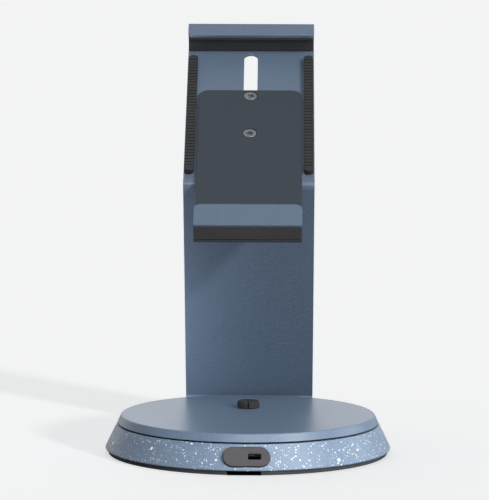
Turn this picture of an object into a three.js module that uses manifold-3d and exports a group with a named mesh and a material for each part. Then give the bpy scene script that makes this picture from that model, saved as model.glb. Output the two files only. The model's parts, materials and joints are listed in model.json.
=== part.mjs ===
// A desk stand for a tablet: a heavy round base, a cap that turns on it, a flat mast that leans forward
// and a head that grips the tablet between a fixed top hook and a sliding lower jaw.
// Millimetres, +Z up. The origin is where the swivel axis meets the desk; the screen faces -Y.
import * as THREE from 'three';
import { mergeVertices } from 'three/addons/utils/BufferGeometryUtils.js';
import Module from 'manifold-3d';

const wasm = await Module();
wasm.setup();

// ---------- driving dimensions ----------
const GAP = 0.3; // clearance between neighbouring pieces
const LARGE_ROUND = 64; // segments of the outer circles of the base
const SPINDLE_ROUND = 36; // of the spindle, its washers and the cable outlet
const SMALL_ROUND = 20; // of holes and bosses
const SCREW_ROUND = 12;

// base
const RING_RADIUS = 81.1;
const RING_WIDEST_Z = 3.0;
const RING_TOP_Z = 16.5;
const RING_WALL = 3.0;
const CONE_ANGLE = THREE.MathUtils.degToRad(25.4); // of the base's side, from the vertical
const SEAM = 0.9; // open gap between ring and cap
const CAP_TOP_Z = 22.0;
const CAP_THICKNESS = 1.6;
const MAT_RADIUS = 79.5;
const MAT_HEIGHT = 2.4;
const BASE_PLATE_THICKNESS = 2.3;
const DECK_THICKNESS = 2.6;
const DECK_TOP_Z = 13.0;

// cable way
const CABLE_CHANNEL_WIDTH = 18.8;
const CABLE_CHANNEL_X = -1.3; // the channel's middle lies a little to the left
const CABLE_ENTRY_Y = -46;
const CABLE_ENTRY_RADIUS = 8;
const CABLE_OUTLET_Y = 22;
const SPINDLE_BORE_RADIUS = 6;

// swivel
const SPINDLE_RADIUS = 9;
const FLANGE_RADIUS = 22;
const FLANGE_THICKNESS = 2.8;
const STOP_PIN_RADIUS = 2;
const STOP_PIN_REACH = 25; // pin's distance from the axis

// bent sheet: tongue, mast, head plate and hook
const SHEET = 2.0;
const SHEET_WIDTH = 74.5;
const TONGUE_FRONT_Y = -44;
const HEAD_TILT = THREE.MathUtils.degToRad(30); // of the tablet's plane above the horizontal

// The head's frame: x across, y up the tablet, z out of the screen. Its origin is the middle of the
// lower edge of the tablet's glass.
const HEAD_ORIGIN = new THREE.Vector3(0, -44.0, 140.3);
const TABLET_HEIGHT = 178.5;
const TABLET_THICKNESS = 5.9;
const MAST_AT = 42.6; // the mast's front face, measured up the tablet
const HOOK_HEIGHT = 14.1;
const HOOK_TOP = TABLET_HEIGHT + 12;
const HOOK_FRONT = 3.5; // in front of the glass
const HEAD_PLATE_FRONT = -9.5;

// jaw
const JAW_WIDTH = 60.2;
const JAW_BOTTOM = -13.3;
const JAW_LIP_TOP = 6.3;
const JAW_LIP_FRONT = 3.0;
const JAW_SHEET = 1.5;
const SLIDE_THICKNESS = 1.6;
const JAW_CLOSING_TRAVEL = 43.5;
const JAW_OPENING_TRAVEL = 36.5;
const SLIDE_TOP = TABLET_HEIGHT - JAW_CLOSING_TRAVEL; // fully closed, it stops short of the hook's block
const GUIDE_SCREWS_AT = { lower: 91, upper: 129 };
const GUIDE_SLOT_WIDTH = 8;

// lock
const BADGE_SIZE = { width: 26, height: 11.3 };
const BADGE_PROUD = 1.2;
const BADGE_SEAT_DEPTH = 1.4;
const LOCK_SLOT = { width: 7, height: 3, offset: 4.4 };
const LOCK_Z = 9.95;
const LOCK_SCREW = { x: 9.9, y: 1.4, shank: 1.2 };

// ---------- heights that follow ----------
const BASE_PLATE_BOTTOM_Z = MAT_HEIGHT + GAP;
const BASE_PLATE_TOP_Z = BASE_PLATE_BOTTOM_Z + BASE_PLATE_THICKNESS;
const DECK_BOTTOM_Z = DECK_TOP_Z - DECK_THICKNESS;
const CAP_BOTTOM_Z = RING_TOP_Z + SEAM;
const CAP_CEILING_Z = CAP_TOP_Z - CAP_THICKNESS;
const TONGUE_TOP_Z = CAP_CEILING_Z - GAP;
const TONGUE_BOTTOM_Z = TONGUE_TOP_Z - SHEET;
const FLANGE_TOP_Z = TONGUE_BOTTOM_Z - GAP;
const FLANGE_BOTTOM_Z = FLANGE_TOP_Z - FLANGE_THICKNESS;
const SLIDE_BACK = HEAD_PLATE_FRONT + GAP;
const SLIDE_FRONT = SLIDE_BACK + SLIDE_THICKNESS;
const JAW_BLOCK_BACK = SLIDE_FRONT + GAP;
const JAW_BLOCK_TOP = -1.5; // leaves room for the lining below the tablet's edge
const GLASS_CLEARANCE = 0.1; // between the glass and what reaches over it
const JAW_LIP_BACK = JAW_LIP_FRONT - JAW_SHEET;

// Outer radius of the base's conical side at a height.
function coneRadius(z) {
  return RING_RADIUS - (z - RING_WIDEST_Z) * Math.tan(CONE_ANGLE);
}

// ---------- solids ----------
function toManifold(geometry) {
  const bare = geometry.clone();
  bare.deleteAttribute('normal');
  bare.deleteAttribute('uv');
  const merged = mergeVertices(bare, 1e-4);
  const triVerts = new Uint32Array(merged.index.array);
  return new wasm.Manifold(
    new wasm.Mesh({ numProp: 3, vertProperties: merged.attributes.position.array, triVerts }),
  );
}

function toGeometry(manifold) {
  const { vertProperties, triVerts } = manifold.getMesh();
  const geometry = new THREE.BufferGeometry();
  geometry.setAttribute('position', new THREE.BufferAttribute(vertProperties, 3));
  geometry.setIndex(new THREE.BufferAttribute(triVerts, 1));
  geometry.computeVertexNormals();
  return geometry;
}

function cut(geometry, ...tools) {
  const solid = tools.reduce((rest, tool) => rest.subtract(toManifold(tool)), toManifold(geometry));
  return toGeometry(solid);
}

function join(geometry, ...others) {
  const solid = others.reduce((sum, other) => sum.add(toManifold(other)), toManifold(geometry));
  return toGeometry(solid);
}

// A solid of revolution about Z from its closed outline of [radius, z] points, in either order.
function turned(outline, segments = SMALL_ROUND) {
  const points = outline.map(([radius, z]) => new THREE.Vector2(radius, z));
  if (THREE.ShapeUtils.isClockWise(points)) points.reverse();
  points.push(points[0].clone());
  return new THREE.LatheGeometry(points, segments).rotateX(Math.PI / 2);
}

function rod(radius, bottom, top, x = 0, y = 0, segments = SMALL_ROUND) {
  const height = top - bottom;
  return new THREE.CylinderGeometry(radius, radius, height, segments)
    .rotateX(Math.PI / 2)
    .translate(x, y, bottom + height / 2);
}

function tube(inner, outer, bottom, top, segments = SMALL_ROUND) {
  return turned([[inner, bottom], [outer, bottom], [outer, top], [inner, top]], segments);
}

// A shape in the XY plane, given thickness from one height to another.
function plate(shape, bottom, top, curveSegments = 6) {
  const options = { depth: top - bottom, bevelEnabled: false, curveSegments };
  return new THREE.ExtrudeGeometry(shape, options).translate(0, 0, bottom);
}

// A side view in (y, z), given a width across X.
function profile(shape, width, curveSegments = 6) {
  const options = { depth: width, bevelEnabled: false, curveSegments };
  const turn = new THREE.Matrix4().makeBasis(
    new THREE.Vector3(0, 1, 0), new THREE.Vector3(0, 0, 1), new THREE.Vector3(1, 0, 0),
  );
  return new THREE.ExtrudeGeometry(shape, options).applyMatrix4(turn).translate(-width / 2, 0, 0);
}

function polygon(points) {
  return new THREE.Shape(points.map(([x, y]) => new THREE.Vector2(x, y)));
}

// A rectangle between two corners; radii are those of the lower and the upper corners.
function roundedRectangle(left, bottom, right, top, lowerRadius, upperRadius) {
  const quarter = Math.PI / 2;
  const shape = new THREE.Shape();
  shape.absarc(left + lowerRadius, bottom + lowerRadius, lowerRadius, 2 * quarter, 3 * quarter);
  shape.absarc(right - lowerRadius, bottom + lowerRadius, lowerRadius, 3 * quarter, 4 * quarter);
  shape.absarc(right - upperRadius, top - upperRadius, upperRadius, 0, quarter);
  shape.absarc(left + upperRadius, top - upperRadius, upperRadius, quarter, 2 * quarter);
  shape.closePath();
  return shape;
}

// An oblong with round ends, standing on x, between two y values.
function uprightOblong(x, bottom, top, radius) {
  const shape = new THREE.Shape();
  shape.absarc(x, bottom + radius, radius, Math.PI, 2 * Math.PI);
  shape.absarc(x, top - radius, radius, 0, Math.PI);
  shape.closePath();
  return shape;
}

function lyingOblong(width, height) {
  const radius = height / 2;
  const reach = width / 2 - radius;
  const shape = new THREE.Shape();
  shape.absarc(reach, 0, radius, -Math.PI / 2, Math.PI / 2);
  shape.absarc(-reach, 0, radius, Math.PI / 2, 1.5 * Math.PI);
  shape.closePath();
  return shape;
}

// Countersunk screw along Z, its flat head face at headZ and its point at pointZ.
function countersunkScrew(x, y, headZ, pointZ, shankRadius, headRadius) {
  const direction = Math.sign(pointZ - headZ);
  const neckZ = headZ + direction * (headRadius - shankRadius);
  const socketZ = headZ + direction * 0.4 * headRadius;
  const socketRadius = 0.45 * headRadius;
  return turned([
    [0, socketZ], [socketRadius, socketZ], [socketRadius, headZ], [headRadius, headZ],
    [shankRadius, neckZ], [shankRadius, pointZ], [0, pointZ],
  ], SCREW_ROUND).translate(x, y, 0);
}

// The hole that such a screw sits in, with clearance all round.
function countersunkHole(x, y, headZ, pointZ, shankRadius, headRadius) {
  const direction = Math.sign(pointZ - headZ);
  const neckZ = headZ + direction * (headRadius - shankRadius);
  const openZ = headZ - direction * 2;
  return turned([
    [0, openZ], [headRadius + GAP, openZ], [headRadius + GAP, headZ + direction * GAP],
    [shankRadius + GAP, neckZ + direction * GAP], [shankRadius + GAP, pointZ + direction * GAP],
    [0, pointZ + direction * GAP],
  ], SCREW_ROUND).translate(x, y, 0);
}

function hexagon(acrossFlats, bottom, top) {
  return rod(acrossFlats / Math.sqrt(3), bottom, top, 0, 0, 6);
}

// Places on a circle, one for each angle in degrees.
function around(radius, degrees) {
  return degrees.map((angle) => {
    const turn = THREE.MathUtils.degToRad(angle);
    return { x: radius * Math.cos(turn), y: radius * Math.sin(turn) };
  });
}

// ---------- the bent sheet ----------
// Outline of a sheet that follows a middle line with a bend at each inner corner. Each corner is
// [y, z, inner radius]; the ends have no radius.
function bentSheetShape(corners, thickness) {
  const at = corners.map(([y, z]) => new THREE.Vector2(y, z));
  const directions = at.slice(1).map((point, i) => point.clone().sub(at[i]).normalize());
  const left = directions.map((d) => new THREE.Vector2(-d.y, d.x));
  const half = thickness / 2;

  const shape = new THREE.Shape();
  // One side of the sheet: straight runs joined by arcs about each bend's centre.
  function walk(side, reversed) {
    const order = at.map((_, i) => (reversed ? at.length - 1 - i : i));
    for (const i of order) {
      if (i === 0 || i === at.length - 1) {
        const normal = left[i === 0 ? 0 : left.length - 1];
        const end = at[i].clone().addScaledVector(normal, side * half);
        shape.lineTo(end.x, end.y);
        continue;
      }
      bend(i, side, reversed);
    }
  }
  function bend(i, side, reversed) {
    const turn = Math.sign(directions[i - 1].cross(directions[i])); // +1 turns left
    const middleRadius = corners[i][2] + half;
    const radius = middleRadius - turn * side * half;
    const bisector = left[i - 1].clone().add(left[i]).normalize();
    const centreDistance = middleRadius / bisector.dot(left[i]);
    const centre = at[i].clone().addScaledVector(bisector, turn * centreDistance);
    const from = left[i - 1].clone().multiplyScalar(-turn).angle();
    const to = left[i].clone().multiplyScalar(-turn).angle();
    const [start, end] = reversed ? [to, from] : [from, to];
    shape.absarc(centre.x, centre.y, radius, start, end, reversed === turn > 0);
  }
  const first = at[0].clone().addScaledVector(left[0], -half);
  shape.moveTo(first.x, first.y);
  walk(-1, false);
  walk(1, true);
  shape.closePath();
  return shape;
}

const headTurn = new THREE.Matrix4().makeRotationX(HEAD_TILT).setPosition(HEAD_ORIGIN);

// The (y, z) place in the stand's frame of a point on the head's middle plane.
function headPoint(along, out) {
  const point = new THREE.Vector3(0, along, out).applyMatrix4(headTurn);
  return [point.y, point.z];
}

function mastPlate() {
  const middleZ = TONGUE_TOP_Z - SHEET / 2;
  const mastMiddle = MAST_AT + SHEET / 2;
  const plateMiddle = HEAD_PLATE_FRONT - SHEET / 2;
  const hookMiddle = HOOK_TOP - SHEET / 2;
  const lipMiddle = HOOK_FRONT - SHEET / 2;
  // The mast's plane carried down to the tongue's height.
  const [headY, headZ] = headPoint(mastMiddle, 0);
  const rearY = headY + (headZ - middleZ) * Math.tan(HEAD_TILT);
  const corners = [
    [TONGUE_FRONT_Y, middleZ, 0],
    [rearY, middleZ, 1.0],
    [...headPoint(mastMiddle, plateMiddle), 2.0],
    [...headPoint(hookMiddle, plateMiddle), 1.0],
    [...headPoint(hookMiddle, lipMiddle), 0.5],
    [...headPoint(HOOK_TOP - HOOK_HEIGHT, lipMiddle), 0],
  ];
  const sheet = profile(bentSheetShape(corners, SHEET), SHEET_WIDTH);
  const cableSlot = uprightOblong(
    0, -SPINDLE_BORE_RADIUS, CABLE_OUTLET_Y + SPINDLE_BORE_RADIUS, SPINDLE_BORE_RADIUS,
  );
  const spindleHoles = SPINDLE_SCREWS.map(({ x, y }) => (
    countersunkHole(x, y, TONGUE_TOP_Z - 0.1, TONGUE_BOTTOM_Z - 1, 1.5, 2.8)
  ));
  const capHoles = CAP_SCREWS.map(({ x, y }) => (
    rod(CAP_BOSS_RADIUS + GAP, TONGUE_BOTTOM_Z - 1, TONGUE_TOP_Z + 1, x, y)
  ));
  return cut(
    sheet,
    plate(cableSlot, TONGUE_BOTTOM_Z - 1, TONGUE_TOP_Z + 1),
    ...spindleHoles,
    ...capHoles,
    guideSlot(),
    ...[-1, 1].map(lipCorner),
    ...[-1, 1].map(tongueCorner),
  );
}

// The long slot in the head plate that the jaw's guide screws run in.
function guideSlot() {
  const radius = GUIDE_SLOT_WIDTH / 2;
  const bottom = GUIDE_SCREWS_AT.lower - JAW_OPENING_TRAVEL - radius;
  const top = GUIDE_SCREWS_AT.upper + JAW_CLOSING_TRAVEL + radius;
  return plate(
    uprightOblong(0, bottom, top, radius), HEAD_PLATE_FRONT - 2 * SHEET, HEAD_PLATE_FRONT + SHEET,
  ).applyMatrix4(headTurn);
}

// What is cut off a free corner of the hook's lip to round it.
function lipCorner(side) {
  const radius = 2.5;
  const edge = (side * SHEET_WIDTH) / 2;
  const bottom = HOOK_TOP - HOOK_HEIGHT;
  const shape = new THREE.Shape();
  shape.moveTo(edge + side, bottom + radius);
  shape.lineTo(edge, bottom + radius);
  const centreX = edge - side * radius;
  const steps = 6;
  for (let i = 1; i <= steps; i += 1) {
    const turn = (i / steps) * (Math.PI / 2);
    shape.lineTo(centreX + side * radius * Math.cos(turn), bottom + radius * (1 - Math.sin(turn)));
  }
  shape.lineTo(centreX, bottom - 1);
  shape.lineTo(edge + side, bottom - 1);
  shape.closePath();
  return plate(shape, 0, HOOK_FRONT + 1).applyMatrix4(headTurn);
}

function tongueCorner(side) {
  const chamfer = 12;
  const edge = (side * (SHEET_WIDTH + 2)) / 2;
  const front = TONGUE_FRONT_Y - 1;
  const corner = polygon([[edge, front], [edge - side * chamfer, front], [edge, front + chamfer]]);
  return plate(corner, TONGUE_BOTTOM_Z - 1, TONGUE_TOP_Z + 1);
}

// ---------- base ----------
const PLATE_SEAT_RADIUS = RING_RADIUS - RING_WALL - 0.8; // the ring's opening, which the base plate closes
const BASE_BOSS_RADIUS = 4.5;
const BASE_SCREWS = around(62, [45, 135, 225, 315]);
const BASE_SCREW = { shank: 1.5, head: 2.6 };

function nonSlipMat() {
  const edge = 0.4;
  const disc = turned([
    [0, 0], [MAT_RADIUS - edge, 0], [MAT_RADIUS, edge], [MAT_RADIUS, MAT_HEIGHT], [0, MAT_HEIGHT],
  ], LARGE_ROUND);
  const channel = uprightOblong(
    CABLE_CHANNEL_X, -MAT_RADIUS - CABLE_CHANNEL_WIDTH, CABLE_ENTRY_Y + CABLE_CHANNEL_WIDTH / 2,
    CABLE_CHANNEL_WIDTH / 2,
  );
  return cut(disc, plate(channel, -1, MAT_HEIGHT + 1));
}

function basePlate() {
  const radius = PLATE_SEAT_RADIUS - GAP;
  const disc = rod(radius, BASE_PLATE_BOTTOM_Z, BASE_PLATE_TOP_Z, 0, 0, LARGE_ROUND);
  const holes = BASE_SCREWS.map(({ x, y }) => countersunkHole(
    x, y, BASE_PLATE_BOTTOM_Z + 0.1, BASE_PLATE_TOP_Z + 1, BASE_SCREW.shank, BASE_SCREW.head,
  ));
  const entry = rod(CABLE_ENTRY_RADIUS, 0, BASE_PLATE_TOP_Z + 1, 0, CABLE_ENTRY_Y);
  return cut(disc, entry, ...holes);
}

function baseScrew({ x, y }) {
  const { shank, head } = BASE_SCREW;
  return countersunkScrew(x, y, BASE_PLATE_BOTTOM_Z + 0.1, DECK_BOTTOM_Z, shank, head);
}

function ballastWeight() {
  const inner = 28;
  const outer = 70;
  const bottom = BASE_PLATE_TOP_Z + GAP;
  const top = DECK_BOTTOM_Z - GAP;
  const ring = tube(inner, outer, bottom, top, SPINDLE_ROUND);
  const wayWidth = 31; // lets the cable and the lock through at the front
  const way = new THREE.BoxGeometry(wayWidth, outer, 2 * top).translate(0, -inner - outer / 2, 0);
  const bossHoles = BASE_SCREWS.map(({ x, y }) => (
    rod(BASE_BOSS_RADIUS + GAP, bottom - 1, top + 1, x, y)
  ));
  return cut(ring, way, ...bossHoles);
}

function ringHousing() {
  const lowerEdge = 0.6;
  const upperEdge = 0.4;
  const bottom = MAT_HEIGHT + 0.2;
  const plateSeat = BASE_PLATE_TOP_Z + GAP;
  const rim = RING_WALL + 0.1;
  const hub = SPINDLE_RADIUS + GAP + 0.1;
  const shell = turned([
    [PLATE_SEAT_RADIUS, bottom], [RING_RADIUS - lowerEdge, bottom], [RING_RADIUS, RING_WIDEST_Z + 0.2],
    [coneRadius(RING_TOP_Z - upperEdge), RING_TOP_Z - upperEdge],
    [coneRadius(RING_TOP_Z) - upperEdge, RING_TOP_Z],
    [coneRadius(RING_TOP_Z) - rim, RING_TOP_Z],
    [coneRadius(DECK_TOP_Z) - rim, DECK_TOP_Z],
    [hub, DECK_TOP_Z], [hub, DECK_BOTTOM_Z],
    [coneRadius(DECK_BOTTOM_Z) - RING_WALL, DECK_BOTTOM_Z],
    [coneRadius(plateSeat) - RING_WALL - 0.4, plateSeat], [PLATE_SEAT_RADIUS, plateSeat],
  ], LARGE_ROUND);
  const bosses = BASE_SCREWS.map(({ x, y }) => (
    rod(BASE_BOSS_RADIUS, plateSeat, DECK_BOTTOM_Z + 0.5, x, y)
  ));
  const bossHoles = BASE_SCREWS.map(({ x, y }) => (
    rod(BASE_SCREW.shank + GAP, plateSeat - 1, DECK_BOTTOM_Z + 0.8, x, y)
  ));
  const pinHole = rod(STOP_PIN_RADIUS + GAP, DECK_BOTTOM_Z - 1, DECK_TOP_Z + 1, 0, STOP_PIN_REACH);
  return cut(join(shell, ...bosses), ...bossHoles, pinHole, lockRecess(), ...lockOpenings());
}

// ---------- lock, in a frame that lies on the front of the cone: z points out of it ----------
const lockTurn = new THREE.Matrix4()
  .makeRotationX(Math.PI / 2 - CONE_ANGLE)
  .setPosition(0, -coneRadius(LOCK_Z), LOCK_Z);
const RING_WALL_DEPTH = RING_WALL * Math.cos(CONE_ANGLE);
const LOCK_POCKET_WIDTH = 30;

// Room behind the slot for the bolt of a security lock, and a flat seat for the backing plate.
function lockRecess() {
  const depth = 14;
  const height = 20;
  const front = -RING_WALL_DEPTH - 1.0;
  return new THREE.BoxGeometry(LOCK_POCKET_WIDTH, height, depth)
    .translate(0, height / 2 - 5.2, front - depth / 2)
    .applyMatrix4(lockTurn);
}

function lockScrewHoles(bottom, top) {
  const { x, y, shank } = LOCK_SCREW;
  return [-x, x].map((place) => rod(shank + GAP, bottom, top, place, y, SCREW_ROUND));
}

function lockOpenings() {
  const seat = plate(
    lyingOblong(BADGE_SIZE.width + 2 * GAP, BADGE_SIZE.height + 2 * GAP), -BADGE_SEAT_DEPTH, 8,
  );
  const { width, height, offset } = LOCK_SLOT;
  const slot = new THREE.BoxGeometry(width + 0.6, height + 0.6, 20).translate(offset, 0, 0);
  return [seat, slot, ...lockScrewHoles(-10, 0)].map((tool) => tool.applyMatrix4(lockTurn));
}

function lockBadge() {
  const back = -BADGE_SEAT_DEPTH + GAP;
  const body = plate(lyingOblong(BADGE_SIZE.width, BADGE_SIZE.height), back, BADGE_PROUD, 12);
  const { width, height, offset } = LOCK_SLOT;
  const slot = new THREE.BoxGeometry(width, height, 20).translate(offset, 0, 0);
  return cut(body, slot, ...lockScrewHoles(back - 1, BADGE_PROUD - 0.6));
}

const LOCK_PLATE_FRONT = -RING_WALL_DEPTH - 1.0 - GAP;
const LOCK_PLATE_THICKNESS = 1.8;

function lockBackingPlate() {
  const shape = roundedRectangle(-13.5, -2.3, 13.5, 5, 1, 1);
  const back = LOCK_PLATE_FRONT - LOCK_PLATE_THICKNESS;
  const { width, height, offset } = LOCK_SLOT;
  const slot = new THREE.BoxGeometry(width, height, 20).translate(offset, 0, 0);
  return cut(plate(shape, back, LOCK_PLATE_FRONT), slot, ...lockScrewHoles(back - 1, 0));
}

function lockScrew(side) {
  const headTop = LOCK_PLATE_FRONT - LOCK_PLATE_THICKNESS - GAP;
  const shank = rod(LOCK_SCREW.shank, headTop - 0.5, BADGE_PROUD - 1.0, 0, 0, SCREW_ROUND);
  const head = rod(2.3, headTop - 1.6, headTop, 0, 0, SCREW_ROUND);
  const socket = rod(1.0, headTop - 2, headTop - 0.8, 0, 0, 6);
  return cut(join(head, shank), socket).translate(side * LOCK_SCREW.x, LOCK_SCREW.y, 0);
}

// ---------- swivel ----------
const SPINDLE_SCREWS = around(15.5, [45, 135, 225, 315]);
const CAP_SCREWS = [{ x: -29, y: 46 }, { x: 29, y: 46 }, { x: 0, y: -36 }];
const CAP_BOSS_RADIUS = 3.5;
const BEARING_GAP = 0.3;

function bearingWasher() {
  const bottom = DECK_TOP_Z + BEARING_GAP;
  const top = FLANGE_BOTTOM_Z - BEARING_GAP;
  return tube(SPINDLE_RADIUS + 0.6, FLANGE_RADIUS - 1, bottom, top, SPINDLE_ROUND);
}

function frictionWasher() {
  const top = DECK_BOTTOM_Z - BEARING_GAP;
  return tube(SPINDLE_RADIUS + 0.5, 15, top - 0.8, top, SPINDLE_ROUND);
}

function swivelStopPin() {
  return rod(STOP_PIN_RADIUS, DECK_BOTTOM_Z + 0.2, FLANGE_TOP_Z - 0.8, 0, STOP_PIN_REACH, SCREW_ROUND);
}

function pivotSpindle() {
  const bottom = BASE_PLATE_TOP_Z + 0.6;
  const body = turned([
    [SPINDLE_BORE_RADIUS, bottom], [SPINDLE_RADIUS, bottom], [SPINDLE_RADIUS, FLANGE_BOTTOM_Z],
    [FLANGE_RADIUS, FLANGE_BOTTOM_Z], [FLANGE_RADIUS, FLANGE_TOP_Z],
    [SPINDLE_BORE_RADIUS, FLANGE_TOP_Z],
  ], SPINDLE_ROUND);
  // The tab that meets the stop pin at either end of the turn.
  const tabReach = STOP_PIN_REACH + STOP_PIN_RADIUS;
  const tab = new THREE.BoxGeometry(6, tabReach - FLANGE_RADIUS + 2, FLANGE_THICKNESS)
    .translate(0, -(tabReach + FLANGE_RADIUS - 2) / 2, (FLANGE_TOP_Z + FLANGE_BOTTOM_Z) / 2);
  const holes = SPINDLE_SCREWS.map(({ x, y }) => (
    rod(1.5 + GAP, FLANGE_BOTTOM_Z - 1, FLANGE_TOP_Z + 1, x, y, SCREW_ROUND)
  ));
  return cut(join(body, tab), ...holes);
}

function pivotNut() {
  const top = DECK_BOTTOM_Z - BEARING_GAP - 0.8 - GAP;
  const bottom = top - 3.2;
  const body = hexagon(26, bottom, top);
  return cut(body, rod(SPINDLE_RADIUS + GAP, bottom - 1, top + 1, 0, 0, SPINDLE_ROUND));
}

function spindleScrew({ x, y }) {
  return countersunkScrew(x, y, TONGUE_TOP_Z - 0.1, FLANGE_BOTTOM_Z + 0.2, 1.5, 2.8);
}

function topCap() {
  const edge = 1.0;
  const tangent = edge * Math.tan((Math.PI / 2 - CONE_ANGLE) / 2);
  const skirtWall = 2.6;
  const rounded = [];
  const steps = 4;
  const centre = { r: coneRadius(CAP_TOP_Z) - tangent, z: CAP_TOP_Z - edge };
  for (let i = 0; i <= steps; i += 1) {
    const turn = CONE_ANGLE + (i / steps) * (Math.PI / 2 - CONE_ANGLE);
    rounded.push([centre.r + edge * Math.cos(turn), centre.z + edge * Math.sin(turn)]);
  }
  const shell = turned([
    [0, CAP_CEILING_Z], [coneRadius(CAP_CEILING_Z) - skirtWall, CAP_CEILING_Z],
    [coneRadius(CAP_BOTTOM_Z) - skirtWall, CAP_BOTTOM_Z], [coneRadius(CAP_BOTTOM_Z), CAP_BOTTOM_Z],
    ...rounded, [0, CAP_TOP_Z],
  ], LARGE_ROUND);
  const bosses = CAP_SCREWS.map(({ x, y }) => (
    rod(CAP_BOSS_RADIUS, TONGUE_BOTTOM_Z + GAP, CAP_CEILING_Z + 0.5, x, y)
  ));
  const bossHoles = CAP_SCREWS.map(({ x, y }) => (
    rod(1.25 + GAP, TONGUE_BOTTOM_Z - 1, CAP_CEILING_Z + 0.6, x, y, SCREW_ROUND)
  ));
  // The sheet leaves the cap through a notch in the back of the skirt.
  const notchDepth = 40;
  const notch = new THREE.BoxGeometry(SHEET_WIDTH + 0.8, notchDepth, CAP_CEILING_Z)
    .translate(0, 56 + notchDepth / 2, CAP_CEILING_Z / 2);
  const outlet = rod(GROMMET_NECK_RADIUS + GAP, CAP_CEILING_Z - 1, CAP_TOP_Z + 1, 0, CABLE_OUTLET_Y);
  return cut(join(shell, ...bosses), ...bossHoles, notch, outlet);
}

function capScrew({ x, y }) {
  const headTop = TONGUE_BOTTOM_Z - GAP;
  const head = rod(4.4, headTop - 1.8, headTop);
  const shank = rod(1.25, headTop - 0.5, CAP_CEILING_Z + 0.3, 0, 0, SCREW_ROUND);
  const socket = rod(1.5, headTop - 3, headTop - 1, 0, 0, 6);
  return cut(join(head, shank), socket).translate(x, y, 0);
}

const GROMMET_RADIUS = 6.35; // of the head on the cap
const GROMMET_FOOT_RADIUS = 5.5; // of the flange below the cap, inside the tongue's slot
const GROMMET_NECK_RADIUS = 4.4;
const GROMMET_HEIGHT = 4.2;

// A split rubber outlet: a head above the cap, a neck through it and a flange that holds it from below.
function cableGrommet() {
  const seat = CAP_TOP_Z + GAP;
  const top = CAP_TOP_Z + GROMMET_HEIGHT;
  const crown = 0.8;
  const holeRadius = 1.4;
  const flangeTop = CAP_CEILING_Z - GAP;
  const body = turned([
    [holeRadius, flangeTop - 1.2], [GROMMET_FOOT_RADIUS, flangeTop - 1.2],
    [GROMMET_FOOT_RADIUS, flangeTop], [GROMMET_NECK_RADIUS, flangeTop],
    [GROMMET_NECK_RADIUS, seat], [GROMMET_RADIUS, seat],
    [GROMMET_RADIUS, top - crown], [GROMMET_RADIUS - crown, top], [holeRadius, top],
  ], SPINDLE_ROUND);
  const slit = new THREE.BoxGeometry(0.8, GROMMET_RADIUS + 2, 20)
    .translate(0, -(GROMMET_RADIUS + 2) / 2, top);
  return cut(body, slit).translate(0, CABLE_OUTLET_Y, 0);
}

// ---------- head, in the head's frame ----------
// Dark block that fills the hook above the tablet, with a thin leg between lip and glass.
function hookPad() {
  const top = HOOK_TOP - SHEET - GAP;
  const back = HEAD_PLATE_FRONT + GAP;
  const front = HOOK_FRONT - SHEET - GAP;
  const underside = TABLET_HEIGHT + 0.4;
  const legBottom = HOOK_TOP - HOOK_HEIGHT + 0.1;
  const shape = polygon([
    [underside, back], [top, back], [top, front], [legBottom, front], [legBottom, GLASS_CLEARANCE],
    [underside, GLASS_CLEARANCE],
  ]);
  return profile(shape, SHEET_WIDTH - 0.4);
}

function backPad(side) {
  const width = 5.5;
  const middle = side * (SHEET_WIDTH / 2 - 3.25);
  const bottom = 52;
  const top = 170;
  const shape = roundedRectangle(middle - width / 2, bottom, middle + width / 2, top, 2.4, 2.4);
  return plate(shape, HEAD_PLATE_FRONT + GAP, -TABLET_THICKNESS - GAP);
}

// ---------- jaw, in the head's frame ----------
const HALF_JAW = JAW_WIDTH / 2;
const JAW_SCREWS = [{ x: -20, y: -7.4 }, { x: 20, y: -7.4 }];
const JAW_SCREW = { shank: 1.5, head: 2.4 };
const GUIDE_SCREW = { shank: 2.5, head: 4.0 };

function jawSlide() {
  const shape = roundedRectangle(-HALF_JAW, JAW_BOTTOM, HALF_JAW, SLIDE_TOP, 0.6, 6);
  const leaf = plate(shape, SLIDE_BACK, SLIDE_FRONT);
  const jawHoles = JAW_SCREWS.map(({ x, y }) => countersunkHole(
    x, y, SLIDE_BACK + 0.1, SLIDE_FRONT + 1, JAW_SCREW.shank, JAW_SCREW.head,
  ));
  const guideHoles = Object.values(GUIDE_SCREWS_AT).map((along) => countersunkHole(
    0, along, SLIDE_FRONT - 0.1, SLIDE_BACK - 1, GUIDE_SCREW.shank, GUIDE_SCREW.head,
  ));
  return cut(leaf, ...jawHoles, ...guideHoles);
}

function jawBlock() {
  const top = JAW_BLOCK_TOP;
  const front = JAW_LIP_BACK - GAP;
  const edge = 0.7;
  const side = polygon([
    [JAW_BOTTOM, JAW_BLOCK_BACK], [top, JAW_BLOCK_BACK], [top, front], [JAW_BOTTOM, front],
  ]);
  const chamfers = [-1, 1].map((end) => plate(polygon([
    [end * (HALF_JAW + 1), JAW_BOTTOM - 1], [end * (HALF_JAW - edge - 1), JAW_BOTTOM - 1],
    [end * (HALF_JAW + 1), JAW_BOTTOM + edge + 1],
  ]), JAW_BLOCK_BACK - 1, front + 1));
  const holes = JAW_SCREWS.map(({ x, y }) => (
    rod(JAW_SCREW.shank + GAP, JAW_BLOCK_BACK - 1, front + 1, x, y, SCREW_ROUND)
  ));
  return cut(profile(side, JAW_WIDTH), ...chamfers, ...holes);
}

function jawFrontPlate() {
  const shape = roundedRectangle(-HALF_JAW, JAW_BOTTOM, HALF_JAW, JAW_LIP_TOP, 0.6, 4);
  const holes = JAW_SCREWS.map(({ x, y }) => (
    rod(JAW_SCREW.shank + GAP, JAW_LIP_BACK - 1, JAW_LIP_FRONT - 0.6, x, y, SCREW_ROUND)
  ));
  return cut(plate(shape, JAW_LIP_BACK, JAW_LIP_FRONT), ...holes);
}

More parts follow.
